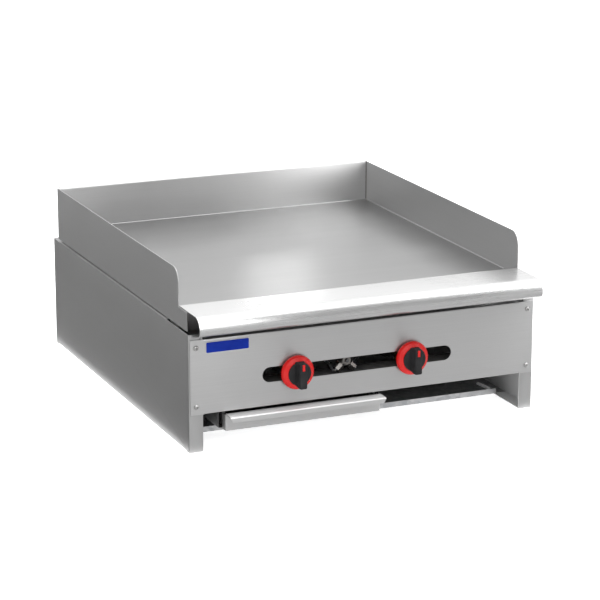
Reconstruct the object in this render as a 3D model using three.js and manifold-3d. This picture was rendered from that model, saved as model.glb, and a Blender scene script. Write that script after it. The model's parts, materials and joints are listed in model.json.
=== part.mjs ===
// Two-burner countertop gas griddle, 610 mm wide.
// Units are millimetres. +Z is up and the front faces -Y.
// Pieces are drawn with Y = 0 on the front flanges of the case; the whole group is then
// moved along Y so that the origin is the centre of the footprint, on the counter.
import * as THREE from 'three';
import { mergeVertices } from 'three/addons/utils/BufferGeometryUtils.js';
import Module from 'manifold-3d';

const wasm = await Module();
wasm.setup();

// ---------------------------------------------------------------- driving dimensions
const WIDTH = 610; // over the side panels
const DEPTH = 684; // front flanges to the outer face of the rear panel
const CASE_HEIGHT = 194; // counter to the top edge of the side panels
const SHEET = 1.5; // side panels, splashes, ledge
const THIN = 1.2; // lighter sheet: front and rear panels, trays, shields
const GAP = 0.3; // fitting gap between touching pieces
const BEND_STEP = 3; // length of the flats that make up a large bend
const FLANGE = 24; // width of the case flanges
const HALF = WIDTH / 2;
const INNER = HALF - SHEET; // inner face of a side panel

const PANEL = { halfWidth: 302.5, bottom: 62, top: 185, returnDepth: 12 };
const REAR = { bottom: 4, top: 190, returnDepth: 11 };
const SLOT = { left: -180, right: 153, height: 25 };
const SCREW = { x: 292.4, clearance: 2.3 };
const FRONT_SCREW_Z = [75.5, 172];
const REAR_SCREW_Z = [30, 170];
const CASE = { topFlange: 15, topFlangeStart: 100, cornerReturn: 12 }; // folds of a side panel
const BADGE = { left: -276, right: -203, bottom: 162, top: 180, corner: 3, thickness: 1.1 };

const PLATE = { halfWidth: 299.6, front: 95, back: 655.6, bottom: 197, top: 216 };
const SPLASH = { bottom: 196, top: 288.7, front: 51, back: 665, toe: 12, corner: 22 };
const BACK_HEM = { rise: 9, run: 9 };
const LEDGE = { halfWidth: 300, top: 229, front: -40, back: 52.5, nose: 20 };
const HEEL = { height: 201.4, radius: 9, tailHeight: 191.3, tailEnd: -0.8 }; // under the ledge
const TROUGH = { front: 54, back: 94.2, bottom: 184, frontTop: 226, backTop: 214 };
const CHUTE = { x: -72, y: 76, outer: 16, inner: 14.5, outlet: 59.5, flange: [24, 17.5] };
const RAIL = { depth: 28, webBottom: 170 };

const BURNER_Z = 114; // height of burners, valves, knobs and slot
const MANIFOLD = { y: 44, z: 84, outer: 13.35, inner: 10.5, left: -190, right: 247 };
const TAP = { hole: 5.4, spigot: 5 };
const SUPPLY = { x: 262, end: 710 };
const TUBE = { mix: 19, leg: 15, wall: 1.6, mouth: 68, cross: 140, legFront: 125, legBack: 590 };
const BURNERS = [
  { side: 'left', valve: -122, legs: [-222, -62], pilot: -38 },
  { side: 'right', valve: 80, legs: [62, 222], pilot: 38 },
];
const PORTS = { first: 170, pitch: 64, count: 6, length: 46, width: 5 };
const PILOT = { x: -26, rise: 2, tube: 2.4, burnerY: 166, burnerBottom: 92, burnerTop: 126 };
const SHIELD_Y = 118; // sheet between the controls and the burners
const LOWER_SHIELD = { bottom: 64.2, front: 14, back: 558, wing: 76 };

const PAN = { front: 85, halfWidth: 301, lipHalfWidth: 283, bottom: 1.8, lipTop: 11 };
const DRAWER = { left: -243, right: 27, bottom: 29, top: 58, back: 335 };
const HANDLE = { reach: 23, drop: 9, mitre: 3.5 };
const GUIDE = { front: 18, back: 350, wing: 13, lip: 13, clearance: 5.3 };

// Knob, drawn about the valve axis; the panel's outer face is at Y = -1.5.
const SKIRT = { radius: 28, back: -5, rim: -8, coneRadius: 20.8, coneFront: -15.5 };
const CAP = { radius: 19.5, front: -17.6, chamfer: 0.9, back: -15.8 };
const BAR = { top: 20.4, bottom: -21.5, face: -33, faceHalf: 6, rootHalf: 8 };
const POINTER = { half: 2.1, bottom: 8.6, top: 19.2, proud: 0.4, root: -14 };
const HUB = { radius: 8.1, back: -6 };
const SPINDLE = { radius: 4, front: -19.5, back: 24, bore: 4.4 };

// ---------------------------------------------------------------- finishes
const finish = (color, metalness, roughness) =>
  new THREE.MeshStandardMaterial({ color, metalness, roughness });
const SATIN_STEEL = finish(0xb4b4b4, 1, 0.38);
const POLISHED_STEEL = finish(0xe2e2e2, 1, 0.2);
const GROUND_PLATE = finish(0xb8b8b8, 1, 0.32);
const ZINC_SHEET = finish(0x8c8e90, 1, 0.5);
const CAST_IRON = finish(0x3a3836, 0.9, 0.65);
const BLACK_PIPE = finish(0x202020, 0.6, 0.5);
const BRASS = finish(0xb08d4a, 1, 0.35);
const BRIGHT_METAL = finish(0xc8c8c8, 1, 0.22);
const ALUMINIUM = finish(0xd0d2d4, 1, 0.35);
const RED_PLASTIC = finish(0xe62a1e, 0, 0.35);
const BLACK_PLASTIC = finish(0x1c1c1e, 0, 0.45);
const BLUE_ENAMEL = finish(0x123a9c, 0, 0.3);

// ---------------------------------------------------------------- shape helpers
function block([x0, x1], [y0, y1], [z0, z1]) {
  const box = new THREE.BoxGeometry(x1 - x0, y1 - y0, z1 - z0);
  return box.translate((x0 + x1) / 2, (y0 + y1) / 2, (z0 + z1) / 2);
}

function extruded(outline, depth) {
  const shape = new THREE.Shape(outline.map(([a, b]) => new THREE.Vector2(a, b)));
  return new THREE.ExtrudeGeometry(shape, { depth, bevelEnabled: false });
}

// Prisms: the outline lies in the two other axes, in the order X, Y, Z.
function prismX(outline, [x0, x1]) {
  const axes = new THREE.Matrix4().makeBasis(
    new THREE.Vector3(0, 1, 0),
    new THREE.Vector3(0, 0, 1),
    new THREE.Vector3(1, 0, 0),
  );
  return extruded(outline, x1 - x0).applyMatrix4(axes).translate(x0, 0, 0);
}

function prismY(outline, [y0, y1]) {
  return extruded(outline, y1 - y0).rotateX(Math.PI / 2).translate(0, y1, 0);
}

function prismZ(outline, [z0, z1]) {
  return extruded(outline, z1 - z0).translate(0, 0, z0);
}

// A round bar from a start point along one axis.
function rod(axis, radius, [x, y, z], length, sides = 16) {
  const bar = new THREE.CylinderGeometry(radius, radius, length, sides);
  bar.translate(0, length / 2, 0);
  if (axis === 'x') bar.rotateZ(-Math.PI / 2);
  if (axis === 'z') bar.rotateX(Math.PI / 2);
  return bar.translate(x, y, z);
}

// A body of revolution about the Y axis; the profile is [radius, y] with y rising outside.
function turned(profile, sides = 20) {
  return new THREE.LatheGeometry(profile.map(([r, y]) => new THREE.Vector2(r, y)), sides);
}

function arcPoints([a, b], radius, from, to, steps) {
  return Array.from({ length: steps + 1 }, (_, i) => {
    const angle = from + ((to - from) * i) / steps;
    return [a + radius * Math.cos(angle), b + radius * Math.sin(angle)];
  });
}

function roundedRectangle([x0, x1], [z0, z1], radius, steps) {
  const quarter = Math.PI / 2;
  const corners = [[x1 - radius, z1 - radius], [x0 + radius, z1 - radius],
    [x0 + radius, z0 + radius], [x1 - radius, z0 + radius]];
  return corners.flatMap((corner, i) =>
    arcPoints(corner, radius, i * quarter, (i + 1) * quarter, steps));
}

// Outline of a bent sheet. The path is its mid-line, [a, b] or [a, b, bend radius].
function bentSheet(path, thickness, bend = 2) {
  const front = [];
  const back = [];
  const put = (point, along) => {
    const across = new THREE.Vector2(-along.y, along.x).multiplyScalar(thickness / 2);
    front.push(point.clone().add(across).toArray());
    back.unshift(point.clone().sub(across).toArray());
  };
  const corners = path.map(([a, b]) => new THREE.Vector2(a, b));
  const along = corners.slice(1).map((end, i) => end.clone().sub(corners[i]).normalize());
  put(corners[0], along[0]);
  along.slice(1).forEach((leave, i) => {
    const enter = along[i];
    const radius = path[i + 1][2] ?? bend;
    const turn = Math.atan2(enter.cross(leave), enter.dot(leave));
    const setback = radius * Math.tan(Math.abs(turn) / 2);
    const start = corners[i + 1].clone().addScaledVector(enter, -setback);
    const side = new THREE.Vector2(-enter.y, enter.x).multiplyScalar(Math.sign(turn) * radius);
    const centre = start.clone().add(side);
    const steps = Math.max(2, Math.round((radius * Math.abs(turn)) / BEND_STEP));
    for (let k = 0; k <= steps; k += 1) {
      const angle = (turn * k) / steps;
      const onArc = start.clone().rotateAround(centre, angle);
      put(onArc, enter.clone().rotateAround(new THREE.Vector2(), angle));
    }
  });
  put(corners.at(-1), along.at(-1));
  return [...front, ...back];
}

// ---------------------------------------------------------------- solid helpers
function toSolid(shape) {
  if (!shape.isBufferGeometry) return shape;
  const bare = new THREE.BufferGeometry().setAttribute('position', shape.getAttribute('position'));
  if (shape.index) bare.setIndex(shape.index);
  const merged = mergeVertices(bare, 1e-4);
  const corners = Array.from(merged.index.array);
  const triVerts = [];
  for (let i = 0; i < corners.length; i += 3) {
    const [a, b, c] = corners.slice(i, i + 3);
    if (a !== b && b !== c && c !== a) triVerts.push(a, b, c);
  }
  return new wasm.Manifold(new wasm.Mesh({
    numProp: 3,
    vertProperties: new Float32Array(merged.getAttribute('position').array),
    triVerts: new Uint32Array(triVerts),
  }));
}

function join(first, ...others) {
  return others.reduce((whole, shape) => whole.add(toSolid(shape)), toSolid(first));
}

function cut(body, ...tools) {
  return tools.reduce((left, tool) => left.subtract(toSolid(tool)), toSolid(body));
}

function toGeometry(solid) {
  const mesh = solid.getMesh();
  const geometry = new THREE.BufferGeometry();
  const positions = Float32Array.from(mesh.vertProperties);
  geometry.setAttribute('position', new THREE.BufferAttribute(positions, 3));
  geometry.setIndex(Array.from(mesh.triVerts));
  const faceted = geometry.toNonIndexed();
  faceted.computeVertexNormals();
  return faceted;
}

function piece(name, shape, material) {
  const mesh = new THREE.Mesh(shape.isBufferGeometry ? shape : toGeometry(shape), material);
  mesh.name = name;
  return mesh;
}

function groupAt([x, y, z], ...members) {
  const group = new THREE.Group();
  group.position.set(x, y, z);
  group.add(...members);
  return group;
}

const both = (half) => [-half, half];

// ---------------------------------------------------------------- case
function screwHoles(heights, y, sides = [-1, 1]) {
  return sides.flatMap((side) =>
    heights.map((z) => rod('y', SCREW.clearance, [side * SCREW.x, y - 5, z], 10, 12)));
}

function sidePanel(name, side) {
  const half = SHEET / 2;
  const wall = side * (HALF - half);
  const foot = side * (HALF - FLANGE);
  const cap = side * (HALF - CASE.topFlange);
  const rear = DEPTH - THIN - GAP - half;
  const roof = CASE_HEIGHT - half;
  const height = [0, CASE_HEIGHT];
  const lowerPath = [[wall, CASE_HEIGHT], [wall, half], [foot, half]];
  const upperPath = [[wall, half + 5], [wall, roof], [cap, roof]];
  const frontPath = [[foot, half], [wall, half], [wall, CASE.cornerReturn]];
  const backPath = [[foot, rear], [wall, rear], [wall, rear - CASE.cornerReturn]];
  const shell = join(
    prismY(bentSheet(lowerPath, SHEET), [2, rear - 2]),
    prismY(bentSheet(upperPath, SHEET), [CASE.topFlangeStart, rear - 2]),
    prismZ(bentSheet(frontPath, SHEET), height),
    prismZ(bentSheet(backPath, SHEET), height),
  );
  const holes = [...screwHoles(FRONT_SCREW_Z, half, [side]), ...screwHoles(REAR_SCREW_Z, rear, [side])];
  return piece(name, cut(shell, ...holes), SATIN_STEEL);
}

function rearPanel() {
  const wall = DEPTH - THIN / 2;
  const inner = wall - REAR.returnDepth;
  const [bottom, top] = [REAR.bottom + THIN / 2, REAR.top - THIN / 2];
  const returns = [[inner, bottom], [wall, bottom], [wall, top], [inner, top]];
  const middle = prismX(bentSheet(returns, THIN), both(HALF - FLANGE - 2));
  const wings = block(both(PANEL.halfWidth), [DEPTH - THIN, DEPTH], [bottom + 3, top - 3]);
  const pipeHole = rod('y', MANIFOLD.outer + 2, [SUPPLY.x, DEPTH - 5, MANIFOLD.z], 10, 24);
  const holes = [pipeHole, ...screwHoles(REAR_SCREW_Z, wall)];
  return piece('rear_panel', cut(join(middle, wings), ...holes), SATIN_STEEL);
}

function basePan() {
  const floor = block(both(PAN.halfWidth), [PAN.front, DEPTH - 4], [PAN.bottom, PAN.bottom + THIN]);
  const lip = block(both(PAN.lipHalfWidth), [PAN.front, PAN.front + THIN], [PAN.bottom, PAN.lipTop]);
  return piece('base_pan', join(floor, lip), ZINC_SHEET);
}

// A short bent rod that stands on the pan behind its lip and points back from the right side.
function panStopRod() {
  const foot = PAN.bottom + THIN + GAP;
  const route = new THREE.CatmullRomCurve3([
    new THREE.Vector3(276, 93, foot),
    new THREE.Vector3(276, 93, foot + 2.2),
    new THREE.Vector3(275.2, 97.5, 7.6),
    new THREE.Vector3(270, 128, 9),
  ]);
  const section = new THREE.Shape().absarc(0, 0, 2.8, 0, 2 * Math.PI);
  const bar = new THREE.ExtrudeGeometry(section, { steps: 8, extrudePath: route, curveSegments: 4 });
  return piece('pan_stop_rod', bar, ALUMINIUM);
}

function controlPanel() {
  const wall = -GAP - THIN / 2;
  const [bottom, top] = [PANEL.bottom + THIN / 2, PANEL.top - THIN / 2];
  const returns = [[PANEL.returnDepth, bottom], [wall, bottom], [wall, top], [PANEL.returnDepth, top]];
  const middle = prismX(bentSheet(returns, THIN), both(HALF - FLANGE - 1.5));
  const face = [wall - THIN / 2, wall + THIN / 2];
  const wings = block(both(PANEL.halfWidth), face, [PANEL.bottom + 3, PANEL.top - 3]);
  const edges = [[PANEL.bottom, PANEL.bottom + 4], [PANEL.top - 4, PANEL.top]].flatMap((z) =>
    [-1, 1].map((side) => {
      const reach = [side * (HALF - FLANGE - 1.5), side * PANEL.halfWidth].sort((a, b) => a - b);
      return block(reach, face, z);
    }));
  const end = SLOT.height / 2;
  const slot = roundedRectangle([SLOT.left, SLOT.right], [BURNER_Z - end, BURNER_Z + end], end, 6);
  const holes = [prismY(slot, [-5, 5]), ...screwHoles(FRONT_SCREW_Z, wall)];
  const solid = cut(join(middle, wings, ...edges), ...holes);
  return piece('front_control_panel', solid, SATIN_STEEL);
}

// Dome-head screw, with its head seat at local Y = 0 and its shank towards +Y.
function screw(name) {
  const dome = [[0, -3], [2.3, -2.7], [3.9, -1.6], [4.4, 0]];
  return piece(name, turned([...dome, [1.9, 0], [1.9, 7.5], [0, 7.5]], 12), BRIGHT_METAL);
}

function caseScrews() {
  const places = [-1, 1].flatMap((side) => [0, 1].map((row) => ({ x: side * SCREW.x, row })));
  return places.flatMap(({ x, row }, i) => {
    const front = screw(`panel_screw_${i + 1}`);
    front.position.set(x, -2 * GAP - THIN, FRONT_SCREW_Z[row]);
    const rear = screw(`rear_screw_${i + 1}`);
    rear.position.set(x, DEPTH + GAP, REAR_SCREW_Z[row]);
    rear.rotation.z = Math.PI;
    return [front, rear];
  });
}

function badge() {
  const { left, right, bottom, top, corner, thickness } = BADGE;
  const outline = roundedRectangle([left, right], [bottom, top], corner, 3);
  const back = -2 * GAP - THIN;
  return piece('blank_badge', prismY(outline, [back - thickness, back]), BLUE_ENAMEL);
}

// ---------------------------------------------------------------- cooking top
function griddlePlate() {
  const plate = block(both(PLATE.halfWidth), [PLATE.front, PLATE.back], [PLATE.bottom, PLATE.top]);
  return piece('griddle_plate', plate, GROUND_PLATE);
}

function sideSplash(name, side) {
  const { bottom, top, front, back, toe, corner } = SPLASH;
  const under = LEDGE.top - SHEET - GAP;
  const round = arcPoints([front + corner, top - corner], corner, Math.PI / 2, Math.PI, 6);
  const outline = [[toe, bottom], [back, bottom], [back, top], ...round, [front, under], [toe, under]];
  const inner = PLATE.halfWidth + GAP;
  const span = [side * inner, side * (inner + SHEET)].sort((a, b) => a - b);
  return piece(name, prismX(outline, span), SATIN_STEEL);
}

function backSplash() {
  const wall = PLATE.back + GAP + THIN / 2;
  const fold = SPLASH.top - 1;
  const path = [[wall, SPLASH.bottom + 1], [wall, fold], [wall + BACK_HEM.run, fold + BACK_HEM.rise]];
  return piece('back_splash', prismX(bentSheet(path, THIN), both(PLATE.halfWidth - 0.1)), SATIN_STEEL);
}

function greaseTrough() {
  const { front, back, bottom, frontTop, backTop } = TROUGH;
  const half = PLATE.halfWidth - 0.1;
  const [f, b, z] = [front + THIN / 2, back - THIN / 2, bottom + THIN / 2];
  const channel = prismX(bentSheet([[f, frontTop], [f, z], [b, z], [b, backTop]], THIN), both(half));
  const end = [[front, bottom + 2], [front + 2, bottom], [back - 2, bottom], [back, bottom + 2],
    [back, backTop], [front, frontTop]];
  const ends = [prismX(end, [-half, THIN - half]), prismX(end, [half - THIN, half])];
  const drain = rod('z', CHUTE.inner, [CHUTE.x, CHUTE.y, bottom - 5], 10, 20);
  return piece('grease_trough', cut(join(channel, ...ends), drain), SATIN_STEEL);
}

function greaseChute() {
  const top = TROUGH.bottom - GAP;
  const pipe = rod('z', CHUTE.outer, [CHUTE.x, CHUTE.y, CHUTE.outlet], top - CHUTE.outlet, 20);
  const [halfX, halfY] = CHUTE.flange;
  const flange = block(
    [CHUTE.x - halfX, CHUTE.x + halfX],
    [CHUTE.y - halfY, CHUTE.y + halfY],
    [top - THIN, top],
  );
  const bore = rod('z', CHUTE.inner, [CHUTE.x, CHUTE.y, CHUTE.outlet - 5], 140, 20);
  return piece('grease_chute', cut(join(pipe, flange), bore), SATIN_STEEL);
}

// Flat shelf, rounded nose, and an underside that slopes back to the front flanges.
function frontLedge() {
  const half = SHEET / 2;
  const [top, front, back] = [LEDGE.top - half, LEDGE.front + half, LEDGE.back - half];
  const path = [
    [back, PLATE.top + 1],
    [back, top],
    [front, top, LEDGE.nose - half],
    [front, HEEL.height, HEEL.radius - half],
    [HEEL.tailEnd, HEEL.tailHeight],
  ];
  const whole = prismX(bentSheet(path, SHEET), both(LEDGE.halfWidth));
  const behind = [SPLASH.front - SHEET, LEDGE.back + 5];
  const reliefs = [-1, 1].map((side) => {
    const span = [side * (PLATE.halfWidth - 0.1), side * (HALF + 5)].sort((a, b) => a - b);
    return block(span, behind, [PLATE.top - 5, LEDGE.top + 5]);
  });
  return piece('front_ledge', cut(whole, ...reliefs), POLISHED_STEEL);
}

// Angle that carries the plate; its flat flange lies on the top flanges of the side panels.
function plateRail(name, front) {
  const top = PLATE.bottom - GAP;
  const shelf = [CASE_HEIGHT + GAP, top];
  const flat = block(both(PLATE.halfWidth - 0.2), [front, front + RAIL.depth], shelf);
  const web = block(both(HALF - CASE.topFlange - 2), [front, front + SHEET], [RAIL.webBottom, top]);
  return piece(name, join(flat, web), ZINC_SHEET);
}

// ---------------------------------------------------------------- heat shields
function controlShield() {
  const sheet = block(both(PAN.halfWidth), [SHIELD_Y, SHIELD_Y + THIN], [67, 191.5]);
  const holes = BURNERS.flatMap(({ valve, pilot }) => [
    rod('y', TUBE.mix + 1, [valve, SHIELD_Y - 5, BURNER_Z], 12, 20),
    rod('y', 4, [pilot, SHIELD_Y - 5, 100], 12, 8),
  ]);
  const pipeHole = rod('y', MANIFOLD.outer + 1, [SUPPLY.x, SHIELD_Y - 5, MANIFOLD.z], 12, 20);
  return piece('control_heat_shield', cut(sheet, ...holes, pipeHole), ZINC_SHEET);
}

function lowerShield() {
  const { bottom, front, back, wing } = LOWER_SHIELD;
  const z = bottom + THIN / 2;
  const x = INNER - THIN;
  const tray = prismY(bentSheet([[-x, wing], [-x, z], [x, z], [x, wing]], THIN), [front, back]);
  const drain = rod('z', CHUTE.outer + 1, [CHUTE.x, CHUTE.y, bottom - 5], 12, 20);
  return piece('lower_heat_shield', cut(tray, drain), ZINC_SHEET);
}

// ---------------------------------------------------------------- burners
function burnerTubes(valve, legs, skin) {
  const [mix, leg] = [TUBE.mix - skin, TUBE.leg - skin];
  const mouth = TUBE.mouth + skin;
  const legLength = TUBE.legBack - TUBE.legFront - 2 * skin;
  return join(
    rod('y', mix, [valve, mouth, BURNER_Z], TUBE.cross - mouth, 20),
    rod('x', leg, [legs[0], TUBE.cross, BURNER_Z], legs[1] - legs[0], 12),
    ...legs.map((x) => rod('y', leg, [x, TUBE.legFront + skin, BURNER_Z], legLength, 12)),
  );
}

function airWindows(valve) {
  return block([valve - 30, valve + 30], [78, 92], [BURNER_Z - 7, BURNER_Z + 7]);
}

function burner({ side, valve, legs }) {
  const jetHole = rod('y', 7.2, [valve, TUBE.mouth - 5, BURNER_Z], 12, 16);
  const ports = legs.flatMap((x) => Array.from({ length: PORTS.count }, (_, i) => {
    const y = PORTS.first + i * PORTS.pitch;
    const across = [x - PORTS.width / 2, x + PORTS.width / 2];
    return block(across, [y, y + PORTS.length], [BURNER_Z + 5, BURNER_Z + 20]);
  }));
  const shell = cut(burnerTubes(valve, legs, 0), burnerTubes(valve, legs, TUBE.wall));
  return piece(`${side}_burner`, cut(shell, jetHole, airWindows(valve), ...ports), CAST_IRON);
}

function airShutter({ side, valve }) {
  const sleeve = rod('y', TUBE.mix + 2.2, [valve, 73, BURNER_Z], 24, 20);
  const bore = rod('y', TUBE.mix + 0.7, [valve, 70, BURNER_Z], 30, 20);
  return piece(`${side}_air_shutter`, cut(sleeve, bore, airWindows(valve)), ZINC_SHEET);
}

function rearBurnerRail() {
  const top = BURNER_Z - TUBE.leg - GAP;
  const shelf = block(both(PAN.halfWidth), [560, 592], [top - SHEET, top]);
  const web = block(both(PAN.halfWidth), [560, 560 + SHEET], [70, top]);
  const pipe = rod('y', MANIFOLD.outer + 1, [SUPPLY.x, 550, MANIFOLD.z], 60, 20);
  return piece('rear_burner_rail', cut(join(shelf, web), pipe), ZINC_SHEET);
}

// ---------------------------------------------------------------- gas train
function manifold() {
  const { y, z, outer, inner, left, right } = MANIFOLD;
  const pipe = rod('x', outer, [left, y, z], right - left, 20);
  const bore = rod('x', inner, [left - 5, y, z], right - left + 10, 12);
  const tapPlaces = [...BURNERS.map(({ valve }) => valve), PILOT.x];
  const taps = tapPlaces.map((x) => rod('z', TAP.hole, [x, y, z], 20, 12));
  return piece('gas_manifold', cut(pipe, bore, ...taps), BLACK_PIPE);
}

function manifoldCap() {
  const { y, z, outer, left } = MANIFOLD;
  const cap = rod('x', outer + 3.5, [left - 14, y, z], 28, 16);
  const socket = rod('x', outer + 2 * GAP, [left - GAP, y, z], 40, 20);
  return piece('manifold_cap', cut(cap, socket), BLACK_PIPE);
}

function inletElbow() {
  const { y, z, outer, inner, right } = MANIFOLD;
  const { x } = SUPPLY;
  const skin = outer + 3.5;
  const knee = new THREE.SphereGeometry(skin, 12, 8).rotateX(Math.PI / 2).translate(x, y, z);
  const body = join(rod('x', skin, [231, y, z], x - 231, 12), rod('y', skin, [x, y, z], 32, 12), knee);
  const sockets = [
    rod('x', outer + 2 * GAP, [226, y, z], right + GAP - 226, 20),
    rod('y', outer + 2 * GAP, [x, y + 17, z], 20, 20),
  ];
  const way = [rod('x', inner, [230, y, z], x - 230, 12), rod('y', inner, [x, y, z], 40, 12)];
  return piece('inlet_elbow', cut(body, ...sockets, ...way), BLACK_PIPE);
}

function supplyPipe() {
  const start = MANIFOLD.y + 17 + GAP;
  const pipe = rod('y', MANIFOLD.outer, [SUPPLY.x, start, MANIFOLD.z], SUPPLY.end - start, 20);
  const bore = rod('y', MANIFOLD.inner, [SUPPLY.x, start - 5, MANIFOLD.z], 700, 20);
  return piece('gas_supply_pipe', cut(pipe, bore), BLACK_PIPE);
}

// Leg that screws into the manifold from above, drawn about the valve axis.
function manifoldTap(radius) {
  const top = MANIFOLD.z + MANIFOLD.outer + GAP - BURNER_Z;
  return join(
    rod('z', radius, [0, MANIFOLD.y, top], -top, 16),
    rod('z', TAP.spigot, [0, MANIFOLD.y, top - 3.8], 5, 12),
  );
}

// Red ring that widens towards the panel. The pointer stands on its front face and comes
// out through a slot in the grip.
function knobSkirt(name) {
  const { radius, back, rim, coneRadius, coneFront } = SKIRT;
  const bore = HUB.radius + GAP;
  const cone = [[bore, coneFront], [coneRadius, coneFront], [radius - 1.9, -11.5], [radius, rim],
    [radius, back], [bore, back], [bore, coneFront]];
  const pointer = block(
    both(POINTER.half),
    [BAR.face - POINTER.proud, POINTER.root],
    [POINTER.bottom, POINTER.top],
  );
  return piece(name, join(turned(cone, 28), pointer), RED_PLASTIC);
}

// Black cap with the bar that the fingers hold; its lower end is a nose just past the cap.
function knobGrip(name) {
  const { radius, front, chamfer, back } = CAP;
  const cap = [[0, front], [radius - chamfer, front], [radius, front + chamfer], [radius, back],
    [HUB.radius, back], [HUB.radius, HUB.back], [0, HUB.back]];
  const root = front + 1;
  const plan = [
    [-BAR.faceHalf, BAR.face],
    [BAR.faceHalf, BAR.face],
    [BAR.rootHalf, root],
    [-BAR.rootHalf, root],
  ];
  const side = [
    [root, BAR.bottom + 4],
    [BAR.face + 6, BAR.bottom],
    [BAR.face + 1, BAR.bottom],
    [BAR.face, BAR.bottom + 1],
    [BAR.face, BAR.top - 1.5],
    [BAR.face + 1.5, BAR.top],
    [root, BAR.top],
  ];
  const tapered = toSolid(prismZ(plan, [BAR.bottom, BAR.top]));
  const bar = tapered.intersect(toSolid(prismX(side, both(BAR.rootHalf))));
  const boreStart = SPINDLE.front - 2 * GAP;
  const pointerSlot = block(
    both(POINTER.half + GAP),
    [BAR.face - 5, POINTER.root + GAP],
    [POINTER.bottom - GAP, POINTER.top + GAP],
  );
  const grip = cut(
    join(turned(cap, 24), bar),
    rod('y', SPINDLE.bore, [0, boreStart, 0], 20, 16),
    pointerSlot,
  );
  return piece(name, grip, BLACK_PLASTIC);
}

function spindle(name) {
  const length = SPINDLE.back - SPINDLE.front;
  return piece(name, rod('y', SPINDLE.radius, [0, SPINDLE.front, 0], length, 16), BRIGHT_METAL);
}

// Valve, jet and knob share one axis along Y through the local origin.
function valveTrain({ side, valve }) {
  const body = join(rod('y', 11, [0, 16, 0], 37, 20), rod('y', 8.5, [0, 8, 0], 9, 6), manifoldTap(8));
  const valveBody = cut(body, rod('y', 4.6, [0, 2, 0], 31, 16));
  const jet = [[0.9, 53.3], [6.5, 53.3], [6.5, 61], [4.5, 64], [4.5, 71], [0.9, 71], [0.9, 53.3]];
  const collar = [[4.6, 1], [7.5, 1], [7.5, 4.2], [4.6, 4.2], [4.6, 1]];
  return groupAt(
    [valve, 0, BURNER_Z],
    piece(`${side}_valve_body`, valveBody, BRASS),
    piece(`${side}_orifice`, turned(jet, 12), BRASS),
    piece(`${side}_valve_collar`, turned(collar, 16), BRIGHT_METAL),
    spindle(`${side}_valve_spindle`),
    knobSkirt(`${side}_knob_skirt`),
    knobGrip(`${side}_knob_grip`),
  );
}

// ---------------------------------------------------------------- pilots
const PILOT_OUTLET_Y = 22;
const PILOT_ARM_TILT = Math.PI / 4;

// A bar that leaves the pilot valve's middle downwards and to one side.
function pilotArm(sign, radius, from, length, sides) {
  const arm = rod('z', radius, [0, 0, -from - length], length, sides);
  return arm.rotateY(-sign * PILOT_ARM_TILT).translate(0, PILOT_OUTLET_Y, PILOT.rise);
}

function pilotTube(sign, target) {
  const reach = (distance) => [
    sign * distance * Math.sin(PILOT_ARM_TILT),
    PILOT_OUTLET_Y,
    PILOT.rise - distance * Math.cos(PILOT_ARM_TILT),
  ];
  const across = (share) => sign * 20 + (target - sign * 20) * share;
  const entry = PILOT.burnerBottom - BURNER_Z - GAP;
  const stops = [
    reach(17.6),
    reach(22),
    [sign * 20, 25, -15],
    [across(0.05), 34, -10.5],
    [across(0.3), 52, -9.5],
    [across(0.75), 78, -10.5],
    [target, 102, -13],
    [target, SHIELD_Y, -14],
    [target, 138, -20],
    [target, 154, -31],
    [target, 163, -33.5],
    [target, PILOT.burnerY, -29],
    [target, PILOT.burnerY, entry],
  ].map((stop) => new THREE.Vector3(...stop));
  const route = new THREE.CatmullRomCurve3(stops, false, 'centripetal');
  const section = new THREE.Shape().absarc(0, 0, PILOT.tube, 0, 2 * Math.PI);
  return new THREE.ExtrudeGeometry(section, { steps: 30, extrudePath: route, curveSegments: 4 });
}

function pilotSet() {
  const arms = [-1, 1].map((sign) => pilotArm(sign, 4, 0, 17, 12));
  const body = join(rod('y', 7.5, [0, 16, PILOT.rise], 36, 18), manifoldTap(6), ...arms);
  const valve = cut(body, rod('y', 3.4, [0, 10, PILOT.rise], 12, 12));
  const screwdriverSlot = block([-4, 4], [12, 14], [PILOT.rise - 0.5, PILOT.rise + 0.5]);
  const adjuster = cut(rod('y', 3, [0, 13, PILOT.rise], 8, 12), screwdriverSlot);
  const fittings = BURNERS.flatMap(({ side, pilot }, i) => {
    const sign = i === 0 ? -1 : 1;
    const nut = cut(pilotArm(sign, 6.5, 10, 11, 6), pilotArm(sign, 4.4, 5, 20, 12));
    return [
      piece(`${side}_pilot_nut`, nut, BRIGHT_METAL),
      piece(`${side}_pilot_tube`, pilotTube(sign, pilot - PILOT.x), ALUMINIUM),
    ];
  });
  return groupAt(
    [PILOT.x, 0, BURNER_Z],
    piece('pilot_valve', valve, BRIGHT_METAL),
    piece('pilot_adjuster', adjuster, BRASS),
    ...fittings,
  );
}

function pilotBurner({ side, pilot }) {
  const { burnerY: y, burnerBottom: bottom, burnerTop: top } = PILOT;
  const stem = rod('z', 5, [pilot, y, bottom], top - bottom, 16);
  const hood = rod('z', 7, [pilot, y, top - 6], 6, 16);
  const arm = block([pilot - 6, pilot + 6], [SHIELD_Y + THIN + GAP, y], [107, 107 + SHEET]);
  const bore = rod('z', 3, [pilot, y, bottom - 5], top - bottom + 2, 12);
  const flameSlot = block([pilot - 10, pilot + 10], [y - 1.5, y + 1.5], [top - 4.5, top - 2]);
  return piece(`${side}_pilot_burner`, cut(join(stem, hood, arm), bore, flameSlot), BRASS);
}

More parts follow.
